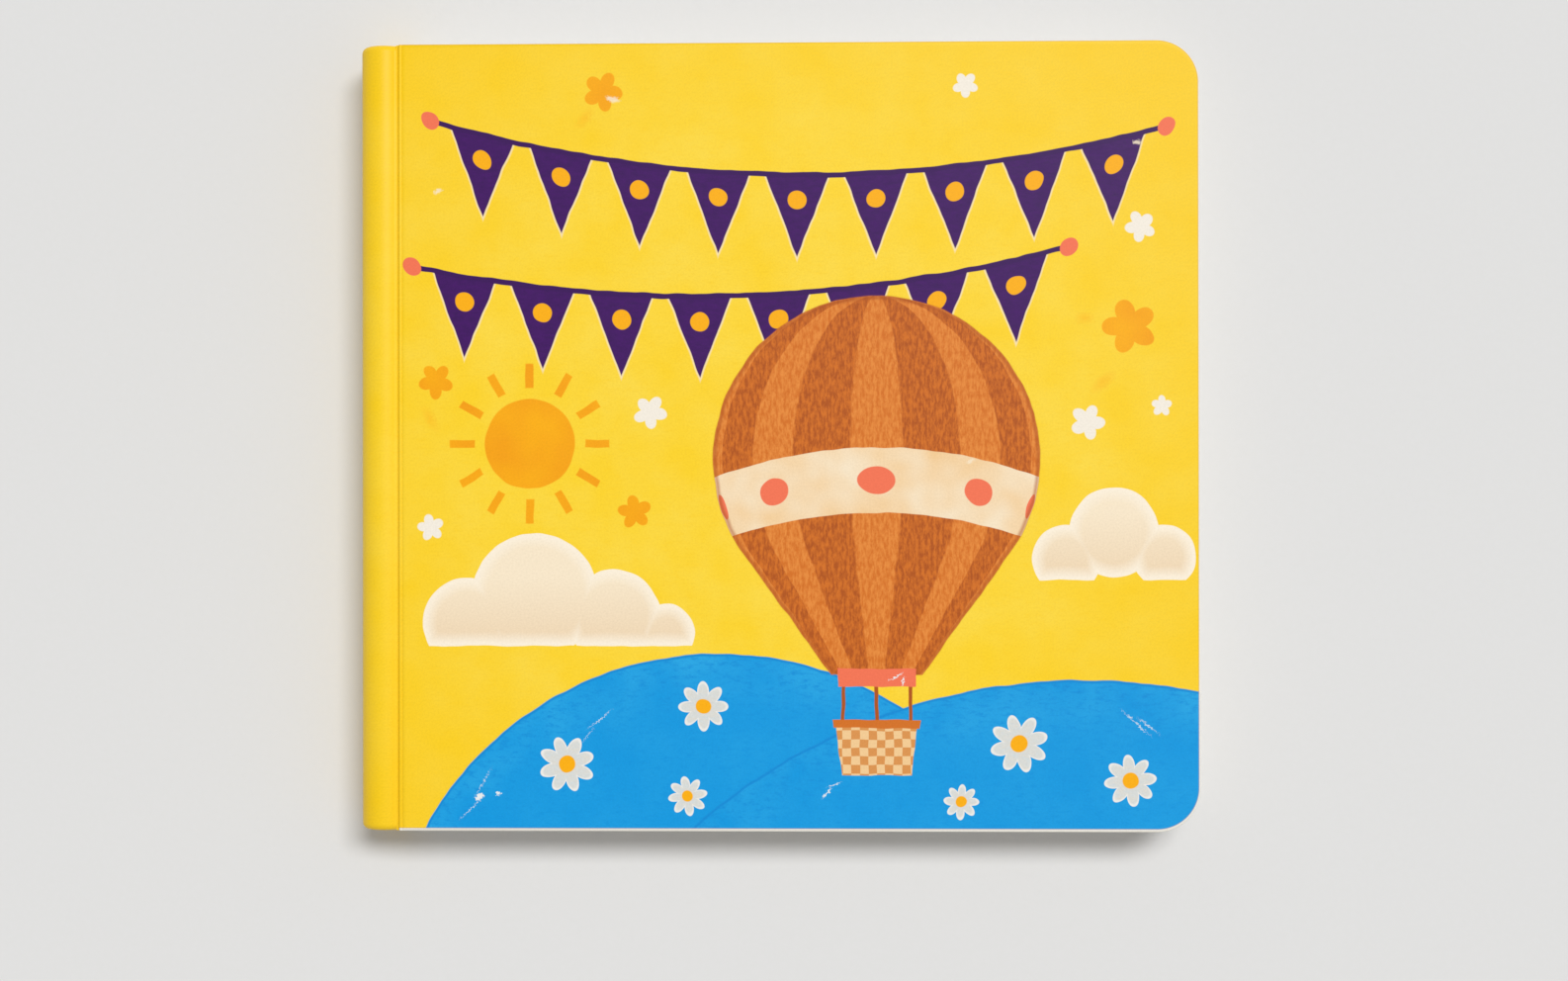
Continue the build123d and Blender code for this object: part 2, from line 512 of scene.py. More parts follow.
def paint_flags(colour, sheet):
    for middle, count, lowest_x, lowest_y, sag in STRINGS:
        along = sheet.x - lowest_x
        below = (along * along).maths("MULTIPLY_ADD", sag, lowest_y) - sheet.y
        reach = abs(sheet.x - middle)
        shift = FLAG_PITCH / 2 * (count % 2) - middle
        aside = FLAG_PITCH / 2 - (sheet.x + shift).maths("PINGPONG", FLAG_PITCH / 2)
        side = aside + below * (FLAG_HALF / FLAG_DROP) - FLAG_HALF
        last = reach - count * FLAG_PITCH / 2
        flag = overlap(side * 0.93, 0 - below, last)
        colour = lay(inside(flag - 0.3, 0.3) * 0.7, colour, CREAM)
        colour = lay(inside(flag), colour, mottle(sheet.strokes, PURPLE, DEEP_PURPLE))
        spot = aside.node("CombineXYZ", {}, {"X": aside, "Y": below})
        spot = overlap(disc(spot, 0, SPOT_DROP, SPOT_RADIUS), last)
        colour = lay(inside(spot), colour, ORANGE)
        end = count * FLAG_PITCH / 2 + CORD_TAIL
        cord = overlap(abs(below) - CORD_HALF, reach - end)
        colour = lay(inside(cord), colour, DEEP_PURPLE)
        knots = reach.node("CombineXYZ", {}, {"X": reach, "Y": below})
        colour = lay(inside(disc(knots, end, 0, KNOT_RADIUS)), colour, CORAL)
    return colour


print("flags", sum(count for _, count, *_ in STRINGS), "on", len(STRINGS), "strings")


# %% [markdown]
# The sun is a disc with a ring of short rays about it. A radial gradient gives the way
# round from its middle, and a ping-pong of that repeats one ray. The clouds are discs
# run together and cut off level below, a little darker at the foot.

# %% Paint the sun and the clouds
SUN = (-47.0, -1.0)
SUN_RADIUS, RAY_START, RAY_END, RAY_COUNT = 8.6, 10.6, 15.2, 12
CLOUDS = (
    (-39.5, ((-59, -35, 8.5), (-46, -30, 12.0), (-31, -34, 9.0), (-21, -37, 5.5))),
    (-27.0, ((55, -23, 6.5), (64, -18, 8.5), (73.5, -22.5, 6.0))),
)


def paint_sun(colour, sheet):
    local = sheet.place.vector("SUBTRACT", (*SUN, 0))
    out = local.vector("LENGTH", output=1)
    ray = (way_round(local) * RAY_COUNT).maths("PINGPONG", 0.5) * out
    ray = overlap(ray * 0.7 - 1.0, RAY_START - out, out - RAY_END)
    orange = mottle(sheet.broad, ORANGE, DEEP_ORANGE)
    return lay(inside(union(out - SUN_RADIUS, ray), 0.25), colour, orange)


def paint_clouds(colour, sheet):
    for foot, puffs in CLOUDS:
        cloud = overlap(union(*[disc(sheet.place, *puff) for puff in puffs]), foot - sheet.y)
        light = (sheet.y - foot).maths("MULTIPLY_ADD", 0.07, 0.1, clamp=True)
        body = lay(light, ink(240, 214, 178), CREAM)
        body = lay(inside(cloud + 1.6, 2.2), ink(255, 243, 222), body)
        colour = lay(inside(cloud), colour, body)
    return colour


print("rays", RAY_COUNT, "and clouds", len(CLOUDS))

# %% [markdown]
# The balloon's envelope is a ball with a cone under it that leaves the ball along a
# tangent. The formulas of a circle and of a straight slope say how wide it is at each
# height, and a point's share of that half width is the sine of the way round it. So the
# gores run together at the crown and at the mouth, as sewn ones do.

# %% Paint the balloon
BROWN, DEEP_BROWN = ink(214, 114, 32), ink(176, 84, 20)
RUST, PEACH, CANE = ink(234, 142, 60), ink(246, 206, 150), ink(222, 150, 80)
BALLOON = (19.0, -4.0)
CROWN_RADIUS, MOUTH_HEIGHT, MOUTH_HALF = 31.0, -41.0, 7.0
BASKET_TOP, BASKET_FOOT, BASKET_HALF = -50.0, -60.0, 7.2
GORE = math.pi / 9

cone_sine = (MOUTH_HALF - CROWN_RADIUS) / MOUTH_HEIGHT
cone_cosine = math.sqrt(1 - cone_sine ** 2)
TANGENT_DROP = CROWN_RADIUS * cone_sine
print("the cone leaves the ball", round(TANGENT_DROP, 1), "mm under its middle")


def paint_balloon(colour, sheet):
    local = sheet.place.vector("SUBTRACT", (*BALLOON, 0))
    x, y, _ = split(local)
    aside = abs(x)
    ball = disc(local, 0, 0, CROWN_RADIUS)
    cone = aside * cone_cosine - y * cone_sine - CROWN_RADIUS
    cone = overlap(cone, y + TANGENT_DROP, MOUTH_HEIGHT - y)
    envelope = union(ball, cone)
    brown = sheet.fur.maths("MULTIPLY_ADD", 3.4, -1.2, clamp=True)
    colour = lay(inside(envelope), colour, lay(brown, BROWN, DEEP_BROWN))

    level = y.maths("MAXIMUM", -TANGENT_DROP)
    half_width = (CROWN_RADIUS ** 2 - level * level).maths("SQRT")
    half_width = half_width - (level - y) * (cone_sine / cone_cosine)
    gore = (aside / half_width).maths("ARCSINE").maths("PINGPONG", GORE)
    stripe = overlap(gore * 20 - 3.2, envelope)
    colour = lay(inside(stripe, 0.3), colour, lay(brown, RUST, BROWN))

    belt_y = (aside * aside).maths("MULTIPLY_ADD", 0.006, 4.0) + y
    belt = overlap(abs(belt_y) - 6.2, envelope)
    colour = lay(inside(belt), colour, mottle(sheet.broad, PEACH, CREAM))
    spot = gore.node("CombineXYZ", {}, {"X": gore * 22, "Y": belt_y})
    colour = lay(inside(overlap(disc(spot, 0, 0, 2.6), envelope)), colour, CORAL)
    rim = overlap(envelope, 0 - envelope - 0.7)
    return lay(inside(rim, 0.5) * 0.6, colour, DEEP_BROWN)


# %% [markdown]
# The basket hangs on three ropes from a coral skirt that hides the envelope's mouth. Its
# weave is a checker in two straw colours, under a brown band.

# %% Hang the basket under it
def paint_basket(colour, sheet):
    local = sheet.place.vector("SUBTRACT", (*BALLOON, 0))
    x, y, _ = split(local)
    aside = abs(x)
    rope = union(abs(aside - BASKET_HALF + 0.8) - 0.35, aside - 0.35)
    rope = overlap(rope, y - MOUTH_HEIGHT, BASKET_TOP - y)
    colour = lay(inside(rope), colour, DEEP_BROWN)
    skirt = overlap(abs(y - MOUTH_HEIGHT + 0.5) - 1.7, aside - MOUTH_HALF - 0.4)
    colour = lay(inside(skirt), colour, CORAL)
    middle = (BASKET_TOP + BASKET_FOOT) / 2
    half = (BASKET_TOP - BASKET_FOOT) / 2
    basket = overlap(aside - BASKET_HALF - (y - middle) * 0.12, abs(y - middle) - half)
    canes = {"Vector": local, "Scale": 0.62, "Color1": PEACH, "Color2": CANE}
    colour = lay(inside(basket), colour, local.node("TexChecker", {}, canes))
    band = overlap(basket - 0.5, abs(y - BASKET_TOP) - 1.1)
    return lay(inside(band), colour, BROWN)


print("basket", 2 * BASKET_HALF, "by", BASKET_TOP - BASKET_FOOT, "mm")

# %% [markdown]
# Small blossoms fill the gaps in the yellow, and larger daisies grow on the hills. Each
# is named by its X and Y in millimetres, its radius and how far it is turned. White
# paint over blue looks a little cold and has a rim that is whiter than its middle.

# %% Scatter the blossoms and the daisies
ORANGE_BLOSSOMS = (
    (-33, 66, 3.8, 0.3), (-65, 11, 3.4, 0.9), (67, 21, 5.2, 1.6), (-27, -14, 3.2, 2.0),
)
WHITE_BLOSSOMS = (
    (-24, 5, 3.2, 0.5), (69, 40, 3.0, 1.2), (59, 3, 3.4, 0.2),
    (-66, -17, 2.6, 1.9), (73, 6, 2.0, 2.4), (36, 67, 2.4, 0.8),
)
DAISIES = (
    (-40, -62, 5.4, 0.2), (-17, -68, 3.8, 0.9), (-14, -51, 4.8, 1.5),
    (46, -58, 5.6, 0.5), (67, -65, 5.0, 1.1), (35, -69, 3.4, 1.8),
)
DAISY_PETALS = 8


def paint_blossoms(colour, sheet):
    flowers = union(*[blossom(sheet.place, *flower) for flower in ORANGE_BLOSSOMS])
    colour = lay(inside(flowers, 0.25), colour, mottle(sheet.broad, ORANGE, DEEP_ORANGE))
    flowers = union(*[blossom(sheet.place, *flower) for flower in WHITE_BLOSSOMS])
    return lay(inside(flowers, 0.25), colour, WHITE)


def paint_daisies(colour, sheet):
    flowers = union(*[blossom(sheet.place, *flower, DAISY_PETALS) for flower in DAISIES])
    colour = lay(inside(flowers), colour, ink(243, 240, 234))
    cold = mottle(sheet.strokes, ink(214, 222, 224), ink(226, 222, 212))
    colour = lay(inside(flowers + 0.5, 0.5), colour, cold)
    hearts = union(*[disc(sheet.place, x, y, radius * 0.3) for x, y, radius, _ in DAISIES])
    return lay(inside(hearts), colour, ORANGE)


print("blossoms", len(ORANGE_BLOSSOMS + WHITE_BLOSSOMS), "and daisies", len(DAISIES))

# %% [markdown]
# A book that has been read shows it. Something sharp has nicked the film on the blue,
# and each nick is a small white chip with a few fine scratches beside it. On the yellow
# there are pale flecks, and faint smears of orange beside the orange blossoms. Each of
# these is a squashed and turned disc, and noise breaks up its edge. A mark is named by
# its X and Y, half its length, half its width and its slant in degrees.

# %% Chip, scratch and smear the print
CHIP_WHITE = ink(236, 240, 240)
CHIPS = (
    (-56.6, -68.3, 0.9, 0.45, 40), (-53.0, -67.6, 0.5, 0.38, 0), (-58.2, -70.4, 1.9, 0.06, 42),
    (-56.0, -65.6, 1.8, 0.05, 62), (-33.8, -53.6, 1.8, 0.06, 38), (-36.0, -56.6, 1.0, 0.06, 52),
    (22.6, -45.4, 1.3, 0.14, 30), (24.0, -46.2, 0.8, 0.18, 75), (9.6, -67.4, 1.2, 0.18, 48),
    (10.9, -65.9, 1.0, 0.1, 20), (68.0, -54.0, 2.6, 0.08, -42), (70.4, -54.6, 1.6, 0.06, -38),
)
SMEARS = (
    (-36.5, 61.0, 1.5, 0.7, 50), (-66.0, 3.8, 1.6, 0.7, -60), (62.0, 10.5, 1.8, 0.8, 40),
    (58.5, 22.6, 1.1, 0.8, 0),
)
FLECKS = (
    (-31.1, 64.6, 1.2, 0.5, -15), (-64.7, 47.2, 0.7, 0.4, 20), (68.5, 55.9, 0.7, 0.4, 10),
    (36.8, -4.6, 0.8, 0.4, 35),
)
RAGGED = 1.2


def marks(place, *places):
    """Several marks of wear as one shape."""
    return union(*[mark(place, *at) for at in places])


def mark(place, x, y, half_length, half_width, degrees):
    """A squashed and turned disc. Outside it the signal grows more slowly lengthways."""
    place_in_it = {
        "Location": (x, y, 0),
        "Rotation": (0, 0, math.radians(degrees)),
        "Scale": (half_length, half_width, 1),
    }
    local = place.node("Mapping", {"vector_type": "TEXTURE"}, {"Vector": place, **place_in_it})
    return (local.vector("LENGTH", output=1) - 1) * half_width


def wear_film(colour, sheet):
    """Smears of orange, then chips and scratches with the white card showing in them."""
    ragged = sheet.grain.node("CombineXYZ", {}, {"X": sheet.grain, "Y": sheet.strokes})
    torn = ragged.vector("MULTIPLY_ADD", (RAGGED, RAGGED, 0), sheet.place)
    torn = torn.vector("SUBTRACT", (RAGGED / 2, RAGGED / 2, 0))
    colour = lay(inside(marks(torn, *SMEARS), 1.4) * 0.45, colour, ORANGE)
    colour = lay(inside(marks(torn, *CHIPS), 0.12), colour, CHIP_WHITE)
    return lay(inside(marks(torn, *FLECKS), 0.35) * 0.8, colour, CREAM)


print("chips and scratches", len(CHIPS), "smears", len(SMEARS), "flecks", len(FLECKS))


# %% [markdown]
# The cover was cut after it was pasted, so its print stops at the cut rim, where the
# white card shows as a thin line along the tail and a thinner one along the fore edge.
# The limit of the print is a rounded rectangle, of which only the fore corners show. In
# the groove the print runs on to the tail, because no cut board lies under it there.

# %% Stop the print at the rim
RIM_WHITE = ink(238, 234, 224)
RIM_AT_TAIL, RIM_AT_FORE = 0.55, 0.28
PAST_GROOVE = 0.6
PRINT_CORNER = FORE_CORNER_RADIUS / MM - RIM_AT_FORE


def bare_rim(colour, place):
    x, y, _ = split(place)
    past_x = (x - (FORE / MM - RIM_AT_FORE - PRINT_CORNER)).maths("MAXIMUM", 0)
    middle_y = RIM_AT_TAIL / 2
    half_y = HEAD / MM - RIM_AT_TAIL / 2 - PRINT_CORNER
    past_y = (abs(y - middle_y) - half_y).maths("MAXIMUM", 0)
    corner = past_x.node("CombineXYZ", {}, {"X": past_x, "Y": past_y})
    limit = corner.vector("LENGTH", output=1) - PRINT_CORNER
    limit = union(limit, x - GROOVE / MM - PAST_GROOVE)
    # A faint darker line along the print's limit is painted shade, where the rounded cut edge
    # turns away from the light.
    colour = lay(inside(abs(limit) - 0.12, 0.15) * 0.35, colour, DEEP_BROWN)
    return lay(inside(0 - limit), colour, RIM_WHITE)


print("white rim", RIM_AT_TAIL, "mm at the tail and", RIM_AT_FORE, "mm at the fore edge")

# %% [markdown]
# Over the ink lies a clear film, so the print has an even, faintly rippled gloss. The
# fine grain of the paint changes only how light the colour is, by a few parts in a
# hundred, which is one Vector Math node that scales it.

# %% Print the covers and the spine
def laminate(material, colour, grain, place):
    """Ends a material with a laminated print's gloss and the grain of its paint."""
    shade = grain.maths("MULTIPLY_ADD", 0.14, 0.93)
    colour = colour.node("VectorMath", {"operation": "SCALE"}, {0: colour, 3: shade})
    height = noise(place, 0.25, 3.0, 0.4)
    roughness = grain.maths("MULTIPLY_ADD", 0.1, 0.36)
    relief = 0.024 * MM
    uniform = {"Specular IOR Level": 0.18}
    return finish_material(material, colour, roughness, height, relief, **uniform)


def make_print_art():
    material, place = start_material("printed_front")
    sheet = prepare_sheet(place)
    colour = yellow_ground(sheet)
    for paint in (
        paint_clouds, paint_hills, paint_flags, paint_sun, paint_blossoms,
        paint_daisies, paint_balloon, paint_basket, wear_film,
    ):
        colour = paint(colour, sheet)
    return laminate(material, bare_rim(colour, place), sheet.grain, place)


def make_print_plain():
    material, place = start_material("printed_plain")
    sheet = prepare_sheet(place)
    return laminate(material, yellow_ground(sheet), sheet.grain, place)


print_art = make_print_art()
print_plain = make_print_plain()
print("front print nodes", len(print_art.node_tree.nodes))

# %% [markdown]
# Thick card is pale fibre pressed in layers. On its cut edges the layers show as faint
# lines along the cut, and two cards are pasted back to back to make one leaf, so a leaf
# has a darker line of paste in the middle of its thickness. Its printed faces are smooth.

# %% Make the boards and the leaves
def card_edge(place, pale, dark, layers):
    """The cut edge of card: long fibres and layers along the cut."""
    long = place.vector("MULTIPLY", (0.5, 0.5, layers))
    return mottle(noise(long, 1.0, 3.0, 0.6), pale, dark, 2.4)


def facing_up(place):
    """1 on level faces and 0 on cut edges, from the shape's own normal."""
    normal = add_node(place.socket.id_data, "NewGeometry", output=1)
    _, _, up = split(normal)
    return abs(up).maths("MULTIPLY_ADD", 4, -2.6, clamp=True)


def make_board_card():
    material, place = start_material("board_card")
    edge = card_edge(place, ink(243, 240, 232), ink(226, 220, 206), 5.0)
    fibre = noise(place, 3.0, 4.0, 0.7)
    roughness = fibre.maths("MULTIPLY_ADD", 0.2, 0.6)
    return finish_material(material, edge, roughness, fibre, 0.03 * MM)


def make_page_card():
    material, place = start_material("page_card")
    edge = card_edge(place, ink(240, 235, 224), ink(222, 212, 194), 6.0)
    _, _, z = split(place)
    paste = (z - leaves_low.z / MM).maths("FRACT")
    paste = abs(paste - 0.47) - 0.04
    edge = lay(inside(paste, 0.08) * 0.45, edge, ink(190, 176, 150))
    coated = mottle(noise(place, 0.15, 3.0, 0.6), ink(250, 246, 236), ink(246, 240, 226))
    fibre = noise(place, 2.4, 4.0, 0.7)
    smooth = facing_up(place)
    colour = lay(smooth, edge, coated)
    roughness = smooth.maths("MULTIPLY_ADD", -0.25, 0.68)
    return finish_material(material, colour, roughness, fibre, 0.012 * MM)


board_card = make_board_card()
page_card = make_page_card()
print("cards", board_card.name, page_card.name)

# %% [markdown]
# The endpaper is the blue of the hills with a sparse print of pale dots. It is only seen
# with a cover open. The liner of the spine is grey card, and its glue has dried clear
# and yellowish. These two come from the model with their shapes, so they only get a
# finish, which reads the place of a point on the object itself.

# %% Make the endpapers, the liner and the glue
DOT_PITCH = 12.0


def make_endpaper():
    material, place = start_material("endpaper")
    colour = mottle(noise(place, 0.1, 3.0, 0.6), LIGHT_BLUE, BLUE)
    x, y, _ = split(place)
    dots = x.node("CombineXYZ", {}, {
        "X": (x + y).maths("PINGPONG", DOT_PITCH),
        "Y": (x - y).maths("PINGPONG", DOT_PITCH),
    })
    dots = union(disc(dots, 0, 0, 1.6), disc(dots, DOT_PITCH, DOT_PITCH, 1.6))
    colour = lay(inside(dots, 0.2), colour, ink(206, 228, 238))
    fibre = noise(place, 2.2, 4.0, 0.7)
    roughness = fibre.maths("MULTIPLY_ADD", 0.12, 0.45)
    return finish_material(material, colour, roughness, fibre, 0.008 * MM)


def make_liner_card():
    material, place = start_material("liner_card", stored_place=False)
    colour = mottle(noise(place, 0.8, 3.0, 0.6), ink(205, 200, 190), ink(184, 178, 166))
    fibre = noise(place, 3.0, 4.0, 0.7)
    roughness = fibre.maths("MULTIPLY_ADD", 0.1, 0.75)
    return finish_material(material, colour, roughness, fibre, 0.03 * MM)


def make_glue():
    material, place = start_material("dried_glue", stored_place=False)
    colour = mottle(noise(place, 0.4, 3.0, 0.6), ink(228, 214, 176), ink(206, 186, 138))
    lumps = noise(place, 0.7, 2.0)
    roughness = lumps.maths("MULTIPLY_ADD", 0.2, 0.25)
    return finish_material(material, colour, roughness, lumps, 0.1 * MM)


endpaper_paper = make_endpaper()
for node, material in (("spine_liner", make_liner_card()), ("spine_glue", make_glue())):
    for slot in bpy.data.objects[node].material_slots:
        slot.material = material
    print(node, "finished with", material.name)

# %% [markdown]
# The table is plain and pale, so that it shows the book's soft shadow. Even painted board
# has a faint grain, which keeps it from looking like empty space.

# %% Paint the table
def make_table_paint():
    material, place = start_material("table_paint", stored_place=False)
    grain = noise(place, 0.8, 2.0, 0.6)
    colour = mottle(grain, ink(230, 230, 230), ink(228, 228, 227), 1.0)
    roughness = grain.maths("MULTIPLY_ADD", 0.1, 0.75)
    uniform = {"Specular IOR Level": 0.1}
    return finish_material(material, colour, roughness, grain, 0.01 * MM, **uniform)


table_paint = make_table_paint()
print("table in", table_paint.name)

# %% [markdown]
# The cover's paper is one sheet on the real book: it runs from one fore edge, round the
# spine, to the other. Here it is three pieces, because a cover swings and the spine
# doesn't. Each cover's piece is drawn as a section with its true thickness. It starts on
# the groove's floor, where the real sheet bends, steps up over the board, and takes a fine
# score before it runs flat to the fore edge. The score's points say how far they are past
# the step and how high, in millimetres.

# %% Draw the sheet on a cover
SCORE = ((0.09, 0.0), (0.25, -0.12), (0.42, 0.0))
FLAT_BORDER = 0.6 * MM
STEP_STEPS, FLOOR_STEPS, RIM_STEPS = 14, 6, 4


def step_arcs(bm, corner, way):
    """Draws the step's two arcs, up towards the fore edge or back down again."""
    valley = (HINGE, GROOVE_FLOOR + STEP_RADIUS, -step_turn * way)
    ridge = (RIDGE, TOP - STEP_RADIUS, step_turn * way)
    for centre_x, centre_z, degrees in (valley, ridge)[::way]:
        corner = arc(bm, corner, centre_x, centre_z, degrees, STEP_STEPS)
    return corner


def cover_sheet(bm):
    """Shapes the printed sheet of the front cover."""
    corner = bm.verts.new((GROOVE, TAIL, GROOVE_FLOOR))
    corner = line(bm, corner, HINGE, GROOVE_FLOOR, FLOOR_STEPS)
    corner = step_arcs(bm, corner, 1)
    for along, down in SCORE:
        corner = line(bm, corner, RIDGE + along * MM, TOP + down * MM)
    corner = line(bm, corner, FORE, TOP)
    corner = line(bm, corner, FORE, TOP - PAPER)
    corner = line(bm, corner, RIDGE, TOP - PAPER)
    corner = step_arcs(bm, corner, -1)
    corner = line(bm, corner, GROOVE, GROOVE_FLOOR - PAPER, FLOOR_STEPS)
    bm.verts.ensure_lookup_table()
    bm.edges.new((corner, bm.verts[0]))
    pull(bm, HEAD - TAIL)
    round_fore_corners(bm)
    bevel(bm, rim_edges(bm, 1, GROOVE + NEAR), RIM_RADIUS, RIM_STEPS)
    border_flat_faces(bm, FLAT_BORDER)


print("a step of", 4 * STEP_STEPS, "arc pieces and a score", SCORE[1][0], "mm past it")

# %% [markdown]
# A cover's sheet isn't hinged with a pin: it bends. On the real book, where it meets the
# spine's sheet it stays with the block, and on the board it moves with the cover. Here
# each sheet's place is only baked into its mesh. The back cover's sheet is the front one
# turned over.


def bend_at_hinge(piece):
    """Bakes a piece's transform into its mesh."""
    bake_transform(piece)


for side, material in (("front", print_art), ("back", print_plain)):
    bm = bmesh.new()
    cover_sheet(bm)
    if side == "back":
        turn_over(bm)
    piece = make_piece(f"{side}_print", bm, material)
    bend_at_hinge(piece)
    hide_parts(f"{side}_wrap")

# %% [markdown]
# The spine's sheet wraps a narrow card liner. It is round at both shoulders, and at the
# head and the tail it is turned in over the liner, which gives the soft lip at each end.
# A closed outline is pulled to the book's height, its end edges are rounded, and the
# turned-in part is the end face pushed back inside. A Solidify modifier then gives the
# one surface its paper thickness, so that the lip stays an even sheet all round.

# %% Wrap the spine
GROOVE_STEPS, SHOULDER_STEPS, SPINE_END_STEPS = 8, 30, 8


def spine_half(bm, corner, way):
    """Draws from a groove's floor over its shoulder to the flat back of the spine."""
    level = MIDDLE + way * (GROOVE_FLOOR + GROOVE_RADIUS - MIDDLE)
    corner = arc(bm, corner, GROOVE, level, groove_turn * way, GROOVE_STEPS)
    level = MIDDLE + way * (TOP - SHOULDER_RADIUS - MIDDLE)
    turn = -(groove_turn + 90) * way
    return arc(bm, corner, SPINE + SHOULDER_RADIUS, level, turn, SHOULDER_STEPS)


def spine_sheet(bm):
    """Shapes the printed sheet round the spine as one surface with turned-in ends."""
    first = bm.verts.new((GROOVE, TAIL, GROOVE_FLOOR))
    front_half = spine_half(bm, first, 1)
    last = bm.verts.new((GROOVE, TAIL, GROOVE_DEPTH))
    back_half = spine_half(bm, last, -1)
    bm.edges.new((front_half, back_half))
    bm.edges.new((last, first))
    pull(bm, HEAD - TAIL)
    ends = [face for face in bm.faces if abs(face.normal.y) > 0.99]
    rims = [
        edge for face in ends for edge in face.edges
        if min(corner.co.x for corner in edge.verts) < GROOVE - NEAR
    ]
    bevel(bm, rims, SPINE_END_RADIUS, SPINE_END_STEPS)
    facing_ends = [face for face in bm.faces if face.normal.y ** 2 > 0.99]
    for end in [face for face in facing_ends if len(face.verts) > SHOULDER_STEPS]:
        inward = (0, -math.copysign(TURN_IN, end.normal.y), 0)
        pushed = bmesh.ops.extrude_face_region(bm, geom=[end])["geom"]
        corners = [item for item in pushed if isinstance(item, bmesh.types.BMVert)]
        bmesh.ops.translate(bm, verts=corners, vec=inward)
        faces = [item for item in pushed if isinstance(item, bmesh.types.BMFace)]
        bmesh.ops.delete(bm, geom=faces, context="FACES")
    closing = [
        face for face in bm.faces
        if all(abs(corner.co.x - GROOVE) < NEAR for corner in face.verts)
    ]
    bmesh.ops.delete(bm, geom=closing, context="FACES")


bm = bmesh.new()
spine_sheet(bm)
piece = make_piece("spine_print", bm, print_plain)
paper = piece.modifiers.new("paper", "SOLIDIFY")
paper.thickness = PAPER
paper.offset = -1
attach(piece, "block")
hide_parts("spine_wrap")

# %% [markdown]
# Under each cover's print lies a thick white board, and inside it the endpaper, one
# more sheet that runs on over the hinge. Board and leaves are cut by the same die, so
# both start as slabs and get the same round corners. Their cut rims are eased less than
# the print's, which the die draws down as it cuts. The endpaper bends in a tight strip,
# so a row of cuts across that strip gives it enough points to bend smoothly.

# %% Cut the boards and the endpapers
BOARD_RIM = 0.12 * MM
BOARD_RIM_STEPS = 3
ENDPAPER_BEND = 0.1 * MM
ENDPAPER_STRIPS = 31

for side in ("front", "back"):
    bm = bmesh.new()
    slab(bm, board_low, board_high)
    round_fore_corners(bm)
    bevel(bm, rim_edges(bm, 1, HINGE) + rim_edges(bm, -1, HINGE), BOARD_RIM, BOARD_RIM_STEPS)
    border_flat_faces(bm, FLAT_BORDER)
    if side == "back":
        turn_over(bm)
    piece = make_piece(f"{side}_core", bm, board_card)
    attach(piece, f"{side}_cover")
    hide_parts(f"{side}_board")

    bm = bmesh.new()
    slab(bm, Vector((GROOVE, TAIL, lining_low.z)), lining_high)
    round_fore_corners(bm)
    for step in range(1, ENDPAPER_STRIPS + 1):
        share = step / ENDPAPER_STRIPS
        across = Vector((GROOVE + (HINGE + ENDPAPER_BEND - GROOVE) * share, 0, 0))
        everything = bm.verts[:] + bm.edges[:] + bm.faces[:]
        bmesh.ops.bisect_plane(bm, geom=everything, plane_co=across, plane_no=(1, 0, 0))
    border_flat_faces(bm, FLAT_BORDER)
    if side == "back":
        turn_over(bm)
    piece = make_piece(f"{side}_endpaper", bm, endpaper_paper)
    bend_at_hinge(piece)
    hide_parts(f"{side}_lining")

# %% [markdown]
# Twelve leaves of thick card make the block. Each is a little out of line with its
# neighbours, as leaves that were cut before they were glued are, and the small random
# shifts are drawn from a seeded generator so that every run gives the same book. The
# first and the last leaf are pieces of their own, because an open cover shows them.

# %% Stack the leaves
LEAF_COUNT = 12
LEAF_GAP = 0.05 * MM
LEAF_RIM = 0.1 * MM
LEAF_RIM_STEPS = 2
LEAF_SHIFT = 0.12 * MM
pitch = (leaves_high.z - leaves_low.z + LEAF_GAP) / LEAF_COUNT
shifts = random.Random(12)


def add_leaf(bm, number):
    """Cuts one leaf of the block and adds it to a mesh."""
    leaf = bmesh.new()
    level = leaves_low.z + number * pitch
    fore = FORE - shifts.uniform(0, LEAF_SHIFT)
    tail = TAIL + shifts.uniform(0, LEAF_SHIFT)
    head = HEAD - shifts.uniform(0, LEAF_SHIFT)
    low = Vector((leaves_low.x, tail, level))
    slab(leaf, low, Vector((fore, head, level + pitch - LEAF_GAP)))
    round_fore_corners(leaf)
    rims = rim_edges(leaf, 1, HINGE) + rim_edges(leaf, -1, HINGE)
    bevel(leaf, rims, LEAF_RIM, LEAF_RIM_STEPS)
    border_flat_faces(leaf, FLAT_BORDER)
    loose = bpy.data.meshes.new("leaf")
    leaf.to_mesh(loose)
    leaf.free()
    bm.from_mesh(loose)
    bpy.data.meshes.remove(loose)


LEAVES = {
    "last_leaf": range(1),
    "inner_leaves": range(1, LEAF_COUNT - 1),
    "first_leaf": range(LEAF_COUNT - 1, LEAF_COUNT),
}
for name, numbers in LEAVES.items():
    bm = bmesh.new()
    for number in numbers:
        add_leaf(bm, number)
    piece = make_piece(name, bm, page_card)
    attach(piece, "block")
    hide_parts("page_block")

# %% [markdown]
# The book lies on a pale table, which is so wide that its end is far behind the book. It
# is a hair lower than the book, so that the two don't share a plane.

# %% Set the table
TABLE_SIZE = 30.0
TABLE_DROP = 0.1 * MM

